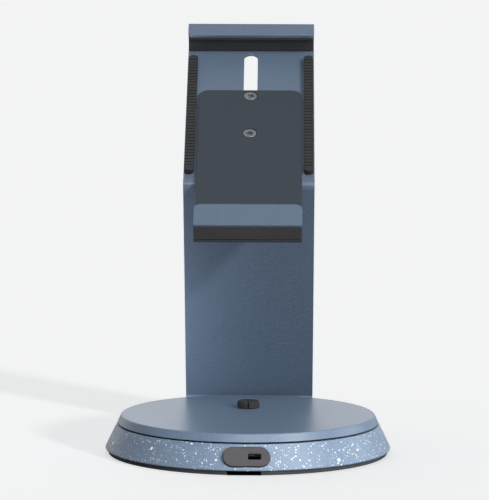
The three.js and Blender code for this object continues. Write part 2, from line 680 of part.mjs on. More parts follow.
// The soft lining of the jaw: a sheet under the tablet's edge that turns up behind the lip.
function jawPad() {
  const bottom = JAW_BLOCK_TOP + GAP;
  const top = bottom + 1;
  const legTop = JAW_LIP_TOP - 0.9;
  const front = JAW_LIP_BACK - GAP;
  const shape = polygon([
    [bottom, JAW_BLOCK_BACK], [top, JAW_BLOCK_BACK], [top, GLASS_CLEARANCE],
    [legTop, GLASS_CLEARANCE], [legTop, front], [bottom, front],
  ]);
  return profile(shape, JAW_WIDTH - 1.4);
}

function jawScrew({ x, y }) {
  const { shank, head } = JAW_SCREW;
  return countersunkScrew(x, y, SLIDE_BACK + 0.1, JAW_LIP_FRONT - 0.9, shank, head);
}

// Behind the head plate each guide screw carries a bush, a washer and a dome nut.
const BUSH_BACK = HEAD_PLATE_FRONT - SHEET;
const WASHER_FRONT = BUSH_BACK - GAP;
const WASHER_BACK = WASHER_FRONT - 1.6;
const NUT_FRONT = WASHER_BACK - GAP;
const NUT_BACK = NUT_FRONT - 4.6;

function guideScrew(along) {
  const { shank, head } = GUIDE_SCREW;
  return countersunkScrew(0, along, SLIDE_FRONT - 0.1, NUT_BACK + 1.4, shank, head);
}

function guideBush(along) {
  const inner = GUIDE_SCREW.shank + GAP;
  const outer = GUIDE_SLOT_WIDTH / 2 - GAP;
  return tube(inner, outer, BUSH_BACK, HEAD_PLATE_FRONT - 0.1).translate(0, along, 0);
}

function guideWasher(along) {
  return tube(GUIDE_SCREW.shank + GAP, 8, WASHER_BACK, WASHER_FRONT).translate(0, along, 0);
}

function guideNut(along) {
  const body = hexagon(9, NUT_FRONT - 3.2, NUT_FRONT);
  const domeFoot = NUT_FRONT - 2;
  const dome = turned([
    [0, NUT_BACK], [2.4, NUT_BACK + 0.4], [4.0, NUT_BACK + 1.4], [4.0, domeFoot], [0, domeFoot],
  ]);
  const bore = rod(GUIDE_SCREW.shank + GAP, NUT_BACK + 1.1, NUT_FRONT + 1);
  return cut(join(body, dome), bore).translate(0, along, 0);
}

// ---------- finishes ----------
const BLUE_PAINT = { color: 0x5f7690, roughness: 0.45, metalness: 0.1 };
const SPECKLED_PAINT = { color: 0x8fa0b4, roughness: 0.5, metalness: 0.0 };
const DARK_PAINT = { color: 0x2f3338, roughness: 0.45, metalness: 0.1 };
const DARK_PLASTIC = { color: 0x3b3a3e, roughness: 0.6, metalness: 0.0 };
const LOCK_METAL = { color: 0x716b6a, roughness: 0.45, metalness: 0.6 };
const RUBBER = { color: 0x2c2d2f, roughness: 0.85, metalness: 0.0 };
const STEEL = { color: 0x9a9da1, roughness: 0.35, metalness: 1.0 };
const NYLON = { color: 0xd8d6cf, roughness: 0.6, metalness: 0.0 };

function add(group, name, geometry, finish) {
  const mesh = new THREE.Mesh(geometry, new THREE.MeshStandardMaterial(finish));
  mesh.name = name;
  group.add(mesh);
}

// ---------- assembly ----------
const stand = new THREE.Group();

const base = new THREE.Group();
stand.add(base);
add(base, 'non_slip_mat', nonSlipMat(), RUBBER);
add(base, 'base_plate', basePlate(), STEEL);
add(base, 'ballast_weight', ballastWeight(), STEEL);
add(base, 'ring_housing', ringHousing(), SPECKLED_PAINT);
add(base, 'bearing_washer', bearingWasher(), NYLON);
add(base, 'friction_washer', frictionWasher(), STEEL);
add(base, 'swivel_stop_pin', swivelStopPin(), STEEL);
BASE_SCREWS.forEach((place, i) => add(base, `base_screw_${i + 1}`, baseScrew(place), STEEL));

const lock = new THREE.Group();
lock.applyMatrix4(lockTurn);
base.add(lock);
add(lock, 'lock_badge', lockBadge(), LOCK_METAL);
add(lock, 'lock_backing_plate', lockBackingPlate(), STEEL);
add(lock, 'lock_screw_left', lockScrew(-1), STEEL);
add(lock, 'lock_screw_right', lockScrew(1), STEEL);

const swivel = new THREE.Group();
stand.add(swivel);
add(swivel, 'mast_plate', mastPlate(), BLUE_PAINT);
add(swivel, 'pivot_spindle', pivotSpindle(), STEEL);
add(swivel, 'pivot_nut', pivotNut(), STEEL);
add(swivel, 'top_cap', topCap(), BLUE_PAINT);
add(swivel, 'cable_grommet', cableGrommet(), RUBBER);
SPINDLE_SCREWS.forEach((place, i) => add(swivel, `spindle_screw_${i + 1}`, spindleScrew(place), STEEL));
CAP_SCREWS.forEach((place, i) => add(swivel, `cap_screw_${i + 1}`, capScrew(place), STEEL));

const head = new THREE.Group();
head.applyMatrix4(headTurn);
swivel.add(head);
add(head, 'hook_pad', hookPad(), DARK_PLASTIC);
add(head, 'back_pad_left', backPad(-1), RUBBER);
add(head, 'back_pad_right', backPad(1), RUBBER);

const jaw = new THREE.Group();
head.add(jaw);
add(jaw, 'jaw_slide', jawSlide(), DARK_PAINT);
add(jaw, 'jaw_block', jawBlock(), DARK_PLASTIC);
add(jaw, 'jaw_front_plate', jawFrontPlate(), BLUE_PAINT);
add(jaw, 'jaw_pad', jawPad(), RUBBER);
add(jaw, 'jaw_screw_left', jawScrew(JAW_SCREWS[0]), STEEL);
add(jaw, 'jaw_screw_right', jawScrew(JAW_SCREWS[1]), STEEL);
for (const [end, along] of Object.entries(GUIDE_SCREWS_AT)) {
  add(jaw, `guide_screw_${end}`, guideScrew(along), STEEL);
  add(jaw, `guide_bush_${end}`, guideBush(along), NYLON);
  add(jaw, `guide_washer_${end}`, guideWasher(along), STEEL);
  add(jaw, `guide_nut_${end}`, guideNut(along), STEEL);
}

export default stand;
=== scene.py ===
"""The looks of a desk stand for a tablet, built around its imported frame.

The frame is in metres, +Z up, with the screen facing -Y. Shapes here are drawn in millimetres in one of
three placed frames (the stand's, the head's and the lock's), and `piece` scales them to metres.
"""
import json
import math

import bmesh
import bpy
from mathutils import Matrix, Vector

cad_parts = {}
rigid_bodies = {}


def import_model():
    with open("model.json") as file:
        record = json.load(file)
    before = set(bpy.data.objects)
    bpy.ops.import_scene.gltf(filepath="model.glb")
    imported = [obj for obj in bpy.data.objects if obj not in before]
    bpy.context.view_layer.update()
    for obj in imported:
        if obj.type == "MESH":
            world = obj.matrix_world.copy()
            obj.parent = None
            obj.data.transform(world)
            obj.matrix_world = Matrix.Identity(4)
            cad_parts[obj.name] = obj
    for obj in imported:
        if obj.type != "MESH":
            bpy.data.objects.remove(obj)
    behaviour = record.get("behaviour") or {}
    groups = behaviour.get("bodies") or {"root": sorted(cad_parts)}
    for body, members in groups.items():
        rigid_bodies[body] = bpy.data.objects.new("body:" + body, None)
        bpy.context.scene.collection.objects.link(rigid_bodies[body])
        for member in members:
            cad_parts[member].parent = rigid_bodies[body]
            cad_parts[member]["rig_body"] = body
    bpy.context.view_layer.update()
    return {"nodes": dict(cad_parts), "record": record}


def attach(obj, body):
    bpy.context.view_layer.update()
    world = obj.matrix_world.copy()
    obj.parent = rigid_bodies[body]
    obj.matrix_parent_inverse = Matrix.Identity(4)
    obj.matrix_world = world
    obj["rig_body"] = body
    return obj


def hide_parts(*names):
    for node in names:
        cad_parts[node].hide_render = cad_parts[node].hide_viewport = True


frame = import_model()

MM = 0.001
RING_STEPS = 256    # segments of the base's large circles
ROUND_STEPS = 96    # segments of the spindle, the nuts and the grommet
HOLE_STEPS = 40     # segments of holes and bosses
SCREW_STEPS = 32

# ---------- placed frames, in millimetres ----------
STAND = Matrix.Identity(4)
HEAD_TILT = math.radians(30)
HEAD = Matrix.Translation((0, -44.0, 140.3)) @ Matrix.Rotation(HEAD_TILT, 4, "X")
CONE_ANGLE = math.radians(25.4)
RING_RADIUS = 81.1
RING_WIDEST_Z = 3.0
LOCK_Z = 9.95


def cone_radius(z):
    """Outer radius of the base's conical side at a height."""
    return RING_RADIUS - (z - RING_WIDEST_Z) * math.tan(CONE_ANGLE)


LOCK = Matrix.Translation((0, -cone_radius(LOCK_Z), LOCK_Z)) @ Matrix.Rotation(
    math.pi / 2 - CONE_ANGLE, 4, "X"
)

# ---------- dimensions shared by several pieces ----------
GAP = 0.3          # clearance between pieces that don't touch
PAST = 1.0         # how far a cutting tool reaches past what it cuts
SUNK = 0.1         # depth of a countersunk head below its face
SHEET = 2.0        # thickness of the bent sheet
RING_TOP_Z = 16.5
RING_WALL = 3.0
SEAM = 0.9         # open height between the ring and the cap
CAP_TOP_Z = 22.0
CAP_THICKNESS = 1.6
CAP_CEILING_Z = CAP_TOP_Z - CAP_THICKNESS
TONGUE_TOP_Z = CAP_CEILING_Z - GAP
TONGUE_BOTTOM_Z = TONGUE_TOP_Z - SHEET
TONGUE_FRONT_Y = -44
TONGUE_CHAMFER = 10
DECK_TOP_Z = 13.0
DECK_BOTTOM_Z = 10.4
CAP_BOSS_RADIUS = 3.5
BASE_BOSS_RADIUS = 4.5
CABLE_OUTLET_Y = 22
GROMMET_NECK = 4.4
CABLE_CHANNEL_WIDTH = 18.8
CABLE_CHANNEL_X = -1.3
CABLE_ENTRY_Y = -46    # the channel's round end has its middle there too
CABLE_ENTRY_RADIUS = 8
SPINDLE_BORE_RADIUS = 6
SPINDLE_RADIUS = 9
HEAD_PLATE_FRONT = -9.5
TABLET_HEIGHT = 178.5
GLASS_CLEARANCE = 0.1
MAST_AT = 42.6
HOOK_TOP = TABLET_HEIGHT + 12
HOOK_HEIGHT = 14.1
HOOK_FRONT = 3.5
LIP_CORNER = 2.5
JAW_CLOSING_TRAVEL = 43.5
JAW_OPENING_TRAVEL = 36.5
GUIDE_SLOT_RADIUS = 4
LOCK_SLOT = {"width": 7, "height": 3, "offset": 4.4}
LOCK_SCREW_REACH = 9.9    # of each lock screw from the plate's middle, along the plate
LOCK_SCREW_RISE = 1.4     # of both of them above the plate's middle
LOCK_BORE_RADIUS = 1.5
SCREW_SHANK = 1.5         # radius of the small countersunk screws
SCREW_BORE = 1.8          # radius of the plain holes that those screws stand in
GUIDE_SHANK = 2.5
GUIDE_HEAD = 4.0
GUIDE_BORE = 2.8          # radius of the bushes, washers and nuts on the guide screws
BASE_SCREW_HEAD = 2.6
SPINDLE_SCREW_HEAD = 2.8
JAW_SCREW_HEAD = 2.4

BASE_SCREWS = [f"base_screw_{i}" for i in range(1, 5)]
CAP_SCREWS = [f"cap_screw_{i}" for i in range(1, 4)]
SPINDLE_SCREWS = [f"spindle_screw_{i}" for i in range(1, 5)]
JAW_SCREWS = ("jaw_screw_left", "jaw_screw_right")
GUIDE_SCREWS = ("guide_screw_lower", "guide_screw_upper")

# ---------- linear colours and the stage ----------
BLUE = (0.114, 0.161, 0.232)
RING_BLUE = (0.142, 0.199, 0.280)
SPECK = (0.78, 0.82, 0.86)
CHARCOAL = (0.030, 0.040, 0.054)
PLASTIC = (0.050, 0.047, 0.050)
TAUPE = (0.050, 0.047, 0.052)
RUBBER_AND_CHANNEL_SHADE = (0.030, 0.032, 0.033)
ZINC = (0.46, 0.47, 0.49)
NYLON = (0.68, 0.66, 0.60)
FLOOR = (0.70, 0.70, 0.70)
FLOOR_LIGHT = (0.40, 0.40, 0.40)
BLACK = (0.0, 0.0, 0.0)
FLOOR_GLOW = 0.55
BACKDROP_GLOW = 0.90
FLOOR_REACH = 30.0    # radius of the stage in metres


# ---------- reading the frame ----------
def extent(node, place=STAND):
    """The lowest and highest corner of a node in a placed frame, in millimetres."""
    inverse = place.inverted()
    points = [inverse @ (v.co / MM) for v in frame["nodes"][node].data.vertices]
    low = Vector([min(p[i] for p in points) for i in range(3)])
    high = Vector([max(p[i] for p in points) for i in range(3)])
    return low, high


def middle(node, place=STAND):
    low, high = extent(node, place)
    return (low + high) / 2


def at_each(nodes, make, place=STAND):
    """One shape at the middle of each of those nodes."""
    middles = [middle(node, place) for node in nodes]
    return [make(spot.x, spot.y) for spot in middles]


SLOT_OF = {row["node"]: row["material_slot"] for row in frame["record"]["subparts"]}


# ---------- outlines ----------
def arc(x, y, radius, start, end, steps=10):
    """Points on a circle from one angle to another, in degrees."""
    turns = [math.radians(start + (end - start) * i / steps) for i in range(steps + 1)]
    return [Vector((x + radius * math.cos(t), y + radius * math.sin(t))) for t in turns]


def circle(x, y, radius, steps=HOLE_STEPS):
    return arc(x, y, radius, 0, 360, steps)[:-1]


def upright_oblong(x, low, high, radius):
    return arc(x, low + radius, radius, 180, 360, 20) + arc(x, high - radius, radius, 0, 180, 20)


def lying_oblong(width, height):
    radius = height / 2
    reach = width / 2 - radius
    return arc(reach, 0, radius, -90, 90, 24) + arc(-reach, 0, radius, 90, 270, 24)


def hexagon(across_flats, x=0, y=0):
    return circle(x, y, across_flats / math.sqrt(3), 6)


def rounded(corners, steps=6):
    """A closed outline through corners [x, y, radius], each turned into an arc of its radius."""
    outline = []
    count = len(corners)
    for i, (x, y, radius) in enumerate(corners):
        here = Vector((x, y))
        if not radius:
            outline.append(here)
            continue
        back = (Vector(corners[i - 1][:2]) - here).normalized()
        ahead = (Vector(corners[(i + 1) % count][:2]) - here).normalized()
        half = back.angle(ahead) / 2
        centre = here + (back + ahead).normalized() * radius / math.sin(half)
        reach = radius / math.tan(half)
        first = here + back * reach - centre
        last = here + ahead * reach - centre
        start = math.atan2(first.y, first.x)
        turn = math.remainder(math.atan2(last.y, last.x) - start, math.tau)
        outline += arc(*centre, radius, math.degrees(start), math.degrees(start + turn), steps)
    return outline


def rectangle(left, bottom, right, top, lower=0, upper=0):
    """A rectangle whose lower and upper corners are rounded to those radii."""
    return rounded([
        (left, bottom, lower), (right, bottom, lower), (right, top, upper), (left, top, upper),
    ])


# ---------- solids: every function returns a bmesh in millimetres ----------
def lathe(outline, steps=RING_STEPS):
    """A solid of revolution about Z from an outline of (radius, z) that closes on itself or on the axis."""
    bm = bmesh.new()
    rings = []
    for radius, z in outline:
        if radius < 1e-6:
            rings.append([bm.verts.new((0, 0, z))])
            continue
        turns = [math.tau * i / steps for i in range(steps)]
        rings.append([bm.verts.new((radius * math.cos(t), radius * math.sin(t), z)) for t in turns])
    for here, there in zip(rings, rings[1:] + rings[:1]):
        for i in range(steps):
            corners = [here[i % len(here)], here[(i + 1) % len(here)]]
            corners += [there[(i + 1) % len(there)], there[i % len(there)]]
            face = list(dict.fromkeys(corners))
            if len(face) > 2:
                bm.faces.new(face)
    bmesh.ops.recalc_face_normals(bm, faces=bm.faces)
    return bm


def slab(outline, bottom, top, edge=0.25, holes=()):
    """A flat solid from one height to another, with softened edges and holes."""
    curve = bpy.data.curves.new("outline", "CURVE")
    curve.dimensions = "2D"
    curve.fill_mode = "BOTH"
    curve.extrude = (top - bottom) / 2 - edge
    curve.bevel_depth = edge
    curve.bevel_resolution = 2
    curve.offset = -edge
    for points in [outline, *holes]:
        spline = curve.splines.new("POLY")
        spline.points.add(len(points) - 1)
        for place, point in zip(spline.points, points):
            place.co = (point[0], point[1], 0, 1)
        spline.use_cyclic_u = True
    holder = bpy.data.objects.new("outline", curve)
    bpy.context.scene.collection.objects.link(holder)
    bm = bmesh.new()
    bm.from_mesh(holder.evaluated_get(bpy.context.evaluated_depsgraph_get()).to_mesh())
    bpy.data.objects.remove(holder)
    bpy.data.curves.remove(curve)
    bmesh.ops.remove_doubles(bm, verts=bm.verts, dist=1e-4)
    bm.transform(Matrix.Translation((0, 0, (top + bottom) / 2)))
    bmesh.ops.recalc_face_normals(bm, faces=bm.faces)
    return bm


def cross_section(outline, width, edge=0.25):
    """A side view in (y, z), given a width across X and softened ends."""
    bm = slab(outline, -width / 2, width / 2, edge)
    bm.transform(Matrix(((0, 0, 1, 0), (1, 0, 0, 0), (0, 1, 0, 0), (0, 0, 0, 1))))
    return bm


def prism(outline, bottom, top):
    """A plain straight solid, used as a tool that cuts or joins."""
    bm = bmesh.new()
    face = bm.faces.new([bm.verts.new((x, y, bottom)) for x, y in outline])
    grown = bmesh.ops.extrude_face_region(bm, geom=[face])["geom"]
    lifted = [v for v in grown if isinstance(v, bmesh.types.BMVert)]
    bmesh.ops.translate(bm, verts=lifted, vec=(0, 0, top - bottom))
    bmesh.ops.recalc_face_normals(bm, faces=bm.faces)
    return bm


def rod(radius, bottom, top, x=0, y=0, steps=HOLE_STEPS):
    return prism(circle(x, y, radius, steps), bottom, top)


def moved(bm, *place):
    bm.transform(Matrix.Translation(place))
    return bm


def placed(bm, place):
    bm.transform(place)
    return bm


def as_object(bm):
    mesh = bpy.data.meshes.new("tool")
    bm.to_mesh(mesh)
    bm.free()
    holder = bpy.data.objects.new("tool", mesh)
    bpy.context.scene.collection.objects.link(holder)
    return holder


def combine(bm, tools, operation):
    """Applies each tool to the solid, one exact boolean after another."""
    target = as_object(bm)
    holders = [as_object(tool) for tool in tools]
    for holder in holders:
        modifier = target.modifiers.new("boolean", "BOOLEAN")
        modifier.operation = operation
        modifier.solver = "EXACT"
        modifier.object = holder
    result = bmesh.new()
    result.from_mesh(target.evaluated_get(bpy.context.evaluated_depsgraph_get()).to_mesh())
    for holder in [target, *holders]:
        bpy.data.meshes.remove(holder.data)
    bmesh.ops.remove_doubles(result, verts=result.verts, dist=1e-4)
    return result


def carve(bm, *tools):
    return combine(bm, tools, "DIFFERENCE")


def join(bm, *others):
    return combine(bm, others, "UNION")


def common(bm, other):
    return combine(bm, [other], "INTERSECT")


def countersink(x, y, head_z, point_z, shank, head):
    """The tool for a countersunk hole, with clearance all round; the head is at head_z."""
    way = math.copysign(1, point_z - head_z)
    neck_z = head_z + way * (head - shank)
    outline = [
        (0, head_z - 2 * way), (head + GAP, head_z - 2 * way), (head + GAP, head_z + GAP * way),
        (shank + GAP, neck_z + GAP * way), (shank + GAP, point_z + GAP * way), (0, point_z + GAP * way),
    ]
    return moved(lathe(outline, SCREW_STEPS), x, y, 0)


# ---------- pieces ----------
def piece(node, bm, place=STAND, sharp=35):
    """Makes the shown piece that stands for a CAD node, with that node's body, slot and finish."""
    bm.transform(Matrix.Scale(MM, 4) @ place)
    mesh = bpy.data.meshes.new(node + "_shape")
    bm.to_mesh(mesh)
    bm.free()
    mesh.shade_smooth()
    mesh.set_sharp_from_angle(angle=math.radians(sharp))
    shown = bpy.data.objects.new(node + "_shape", mesh)
    bpy.context.scene.collection.objects.link(shown)
    shown.data.materials.append(FINISHES[SLOT_OF[node]])
    normals = shown.modifiers.new("normals", "WEIGHTED_NORMAL")
    normals.keep_sharp = True
    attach(shown, frame["nodes"][node]["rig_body"])
    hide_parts(node)
    return shown


# ---------- materials ----------
def math_node(tree, operation, first, second):
    """Works on two values in a node tree, each a number or a socket."""
    node = tree.nodes.new("ShaderNodeMath")
    node.operation = operation
    for source, target in zip((first, second), node.inputs):
        if isinstance(source, (int, float)):
            target.default_value = source
        else:
            tree.links.new(source, target)
    return node.outputs[0]


class Finish:
    """A principled material whose textures are laid on in the piece's own coordinates."""

    def __init__(self, name, roughness, metallic=0.0, specular=0.5):
        self.material = bpy.data.materials.new(name)
        self.material.use_nodes = True
        self.tree = self.material.node_tree
        self.tree.nodes.clear()
        self.shader = self.add("ShaderNodeBsdfPrincipled")
        self.shader.inputs["Roughness"].default_value = roughness
        self.shader.inputs["Metallic"].default_value = metallic
        self.shader.inputs["Specular IOR Level"].default_value = specular
        output = self.add("ShaderNodeOutputMaterial")
        self.link(self.shader.outputs["BSDF"], output.inputs["Surface"])
        self.place = self.add("ShaderNodeTexCoord").outputs["Object"]

    def add(self, kind, **settings):
        node = self.tree.nodes.new(kind)
        for name, value in settings.items():
            setattr(node, name, value)
        return node

    def link(self, output, target):
        self.tree.links.new(output, target)

    def noise(self, size, detail=3.0, stretch=None):
        """Noise from 0 to 1 with features of about that size, in metres."""
        node = self.add("ShaderNodeTexNoise")
        node.inputs["Scale"].default_value = 1.0 / size
        node.inputs["Detail"].default_value = detail
        place = self.place
        if stretch:
            mapping = self.add("ShaderNodeMapping")
            mapping.inputs["Scale"].default_value = stretch
            self.link(self.place, mapping.inputs["Vector"])
            place = mapping.outputs["Vector"]
        self.link(place, node.inputs["Vector"])
        return node.outputs["Fac"]

    def remap(self, value, low, high, to_low=0.0, to_high=1.0):
        node = self.add("ShaderNodeMapRange")
        node.inputs["From Min"].default_value = low
        node.inputs["From Max"].default_value = high
        node.inputs["To Min"].default_value = to_low
        node.inputs["To Max"].default_value = to_high
        self.link(value, node.inputs["Value"])
        return node.outputs["Result"]

    def mix(self, factor, first, second):
        """Mixes two colours; each is a colour or a socket."""
        node = self.add("ShaderNodeMix", data_type="RGBA")
        self.link(factor, node.inputs[0])
        for source, target in ((first, node.inputs[6]), (second, node.inputs[7])):
            if isinstance(source, tuple):
                target.default_value = (*source, 1.0)
            else:
                self.link(source, target)
        return node.outputs[2]

    def math(self, operation, first, second):
        return math_node(self.tree, operation, first, second)

    def colour(self, socket):
        self.link(socket, self.shader.inputs["Base Color"])

    def roughness(self, value, low, high):
        self.link(self.remap(value, 0.3, 0.7, low, high), self.shader.inputs["Roughness"])

    def bump(self, *layers):
        """Relief from layers of (height socket, depth in metres), the first one lowest."""
        normal = None
        for height, depth in layers:
            node = self.add("ShaderNodeBump")
            node.inputs["Distance"].default_value = depth
            self.link(height, node.inputs["Height"])
            if normal is not None:
                self.link(normal, node.inputs["Normal"])
            normal = node.outputs["Normal"]
        self.link(normal, self.shader.inputs["Normal"])


def shade(colour, factor):
    return tuple(min(1.0, c * factor) for c in colour)


def powder_coat(name, colour, roughness=0.33):
    """Fine-textured satin paint: soft orange peel, a sand-like grain and a faint change of tone."""
    finish = Finish(name, roughness)
    grain = finish.noise(0.0011, 4.0)
    peel = finish.noise(0.0016, 2.0)
    cloud = finish.noise(0.03, 3.0)
    clouded = finish.mix(finish.remap(cloud, 0.35, 0.65), shade(colour, 0.96), shade(colour, 1.04))
    grained = finish.mix(finish.remap(grain, 0.3, 0.7), shade(colour, 0.84), shade(colour, 1.16))
    grain_share = finish.remap(peel, 0.3, 0.7, 0.45, 0.75)
    finish.colour(finish.mix(grain_share, clouded, grained))
    finish.roughness(grain, roughness - 0.05, roughness + 0.08)
    finish.bump((peel, 0.00004), (grain, 0.00014))
    return finish


def blue_paint():
    return powder_coat("blue_paint", BLUE).material


def dark_paint():
    return powder_coat("dark_paint", CHARCOAL, 0.45).material


def specks(finish, cell, largest, share, blur):
    """A mask of irregular blots, most of them small, in that share of a voronoi's cells.

    The cells and the largest blot's radius are in metres; the blur at a blot's rim is a part of a cell.
    """
    wobble = finish.add("ShaderNodeTexNoise")
    wobble.inputs["Scale"].default_value = 1.0 / (1.6 * largest)
    wobble.inputs["Detail"].default_value = 2.0
    finish.link(finish.place, wobble.inputs["Vector"])
    shift = finish.add("ShaderNodeVectorMath", operation="MULTIPLY_ADD")
    finish.link(wobble.outputs["Color"], shift.inputs[0])
    shift.inputs[1].default_value = (1.1 * largest,) * 3
    finish.link(finish.place, shift.inputs[2])
    cells = finish.add("ShaderNodeTexVoronoi")
    cells.inputs["Scale"].default_value = 1.0 / cell
    finish.link(shift.outputs["Vector"], cells.inputs["Vector"])
    lot = finish.add("ShaderNodeSeparateColor")
    finish.link(cells.outputs["Color"], lot.inputs["Color"])
    # The lot picks which cells have a blot and how large it is.
    reach = finish.remap(lot.outputs[0], 1.0 - share, 1.0, 0.0, largest / cell)
    inside = finish.math("SUBTRACT", reach, cells.outputs["Distance"])
    return finish.remap(inside, 0.0, blur)


def speckled_paint():
    finish = powder_coat("speckled_paint", RING_BLUE, 0.38)
    under = finish.shader.inputs["Base Color"].links[0].from_socket
    fine = specks(finish, 0.0012, 0.00055, 0.8, 0.25)
    broad = specks(finish, 0.0027, 0.0008, 0.45, 0.12)
    large = specks(finish, 0.0075, 0.0015, 0.4, 0.06)
    mask = finish.math("MAXIMUM", fine, finish.math("MAXIMUM", broad, large))
    finish.colour(finish.mix(mask, under, SPECK))
    return finish.material


def dark_plastic():
    """Moulded plastic with a spark-eroded grain."""
    finish = Finish("dark_plastic", 0.55)
    grain = finish.noise(0.0005, 3.0)
    cloud = finish.noise(0.012, 2.0)
    finish.colour(finish.mix(finish.remap(cloud, 0.3, 0.7), shade(PLASTIC, 0.92), shade(PLASTIC, 1.1)))
    finish.roughness(grain, 0.48, 0.64)
    finish.bump((grain, 0.00006))
    return finish.material


def lock_metal():
    """Bead-blasted metal under a taupe coat."""
    finish = Finish("lock_metal", 0.5, metallic=0.35)
    beads = finish.noise(0.00035, 2.0)
    cloud = finish.noise(0.006, 3.0)
    finish.colour(finish.mix(finish.remap(cloud, 0.3, 0.7), shade(TAUPE, 0.94), shade(TAUPE, 1.06)))
    finish.roughness(beads, 0.42, 0.58)
    finish.bump((beads, 0.00004))
    return finish.material


def rubber():
    """Matt rubber with a fine dusty bloom."""
    finish = Finish("rubber", 0.8, specular=0.3)
    grain = finish.noise(0.0007, 4.0)
    bloom = finish.noise(0.009, 4.0)
    finish.colour(finish.mix(finish.remap(bloom, 0.4, 0.75), RUBBER_AND_CHANNEL_SHADE, shade(RUBBER_AND_CHANNEL_SHADE, 1.35)))
    finish.roughness(grain, 0.7, 0.9)
    finish.bump((grain, 0.00009))
    return finish.material


def steel():
    """Zinc-plated steel: fine turning lines and a cloudy passivation."""
    finish = Finish("steel", 0.42, metallic=1.0)
    lines = finish.noise(0.0006, 2.0, stretch=(1.0, 1.0, 7.0))
    cloud = finish.noise(0.004, 3.0)
    finish.colour(finish.mix(finish.remap(cloud, 0.3, 0.7), shade(ZINC, 0.88), ZINC))
    finish.roughness(cloud, 0.36, 0.5)
    finish.bump((lines, 0.00001))
    return finish.material


def nylon():
    """Natural nylon, faintly mottled."""
    finish = Finish("nylon", 0.55)
    cloud = finish.noise(0.003, 3.0)
    grain = finish.noise(0.0006, 2.0)
    finish.colour(finish.mix(cloud, shade(NYLON, 0.9), NYLON))
    finish.roughness(grain, 0.48, 0.62)
    finish.bump((grain, 0.00003))
    return finish.material


FINISHES = {
    make.__name__: make()
    for make in (
        blue_paint, dark_paint, speckled_paint, dark_plastic, lock_metal, rubber, steel, nylon,
    )
}


# ---------- the bent sheet ----------
def head_point(along, out):
    """The (y, z) place of a point on the head's middle plane."""
    point = HEAD @ Vector((0, along, out))
    return Vector((point.y, point.z))


def sheet_corners():
    """The middle line's corners as (y, z, inner radius of the bend)."""
    tongue_z = TONGUE_TOP_Z - SHEET / 2
    mast = MAST_AT + SHEET / 2
    plate = HEAD_PLATE_FRONT - SHEET / 2
    hook = HOOK_TOP - SHEET / 2
    lip = HOOK_FRONT - SHEET / 2
    on_mast = head_point(mast, 0)
    rear_y = on_mast.x + (on_mast.y - tongue_z) * math.tan(HEAD_TILT)
    return [
        (TONGUE_FRONT_Y, tongue_z, 0), (rear_y, tongue_z, 1.0), (*head_point(mast, plate), 2.0),
        (*head_point(hook, plate), 1.0), (*head_point(hook, lip), 0.5),
        (*head_point(HOOK_TOP - HOOK_HEIGHT, lip), 0),
    ]


def heading_vector(heading):
    return Vector((math.cos(heading), math.sin(heading)))


def sheet_runs():
    """Straight runs and bends of the middle line, as (start, length, place, heading, curvature)."""
    corners = sheet_corners()
    at = [Vector(corner[:2]) for corner in corners]
    headings = [math.atan2(b.y - a.y, b.x - a.x) for a, b in zip(at, at[1:])]
    runs = []
    start = 0.0
    place = at[0]
    for i, heading in enumerate(headings):
        if i + 1 == len(headings):
            runs.append((start, (at[-1] - place).length, place, heading, 0.0))
            break
        turn = math.remainder(headings[i + 1] - heading, math.tau)
        radius = corners[i + 1][2] + SHEET / 2
        trim = radius * math.tan(abs(turn) / 2)
        length = (at[i + 1] - place).length - trim
        runs.append((start, length, place, heading, 0.0))
        bend_start = start + length
        bend_length = radius * abs(turn)
        bend_place = place + heading_vector(heading) * length
        runs.append((bend_start, bend_length, bend_place, heading, turn / bend_length))
        start = bend_start + bend_length
        place = at[i + 1] + heading_vector(headings[i + 1]) * trim
    return runs


def folded(point, runs):
    """Where a point of the flat blank (across, along, thickness) comes to lie once it is bent."""
    across, along, depth = point
    run = next((r for r in reversed(runs) if along >= r[0] - 1e-6), runs[0])
    start, _, place, heading, curvature = run
    passed = along - start
    if not curvature:
        spot = place + heading_vector(heading) * passed + heading_vector(heading + math.pi / 2) * depth
        return Vector((across, spot.x, spot.y))
    centre = place + heading_vector(heading + math.pi / 2) / curvature
    turned = heading + passed * curvature + math.pi / 2
    spot = centre + heading_vector(turned) * (depth - 1 / curvature)
    return Vector((across, spot.x, spot.y))


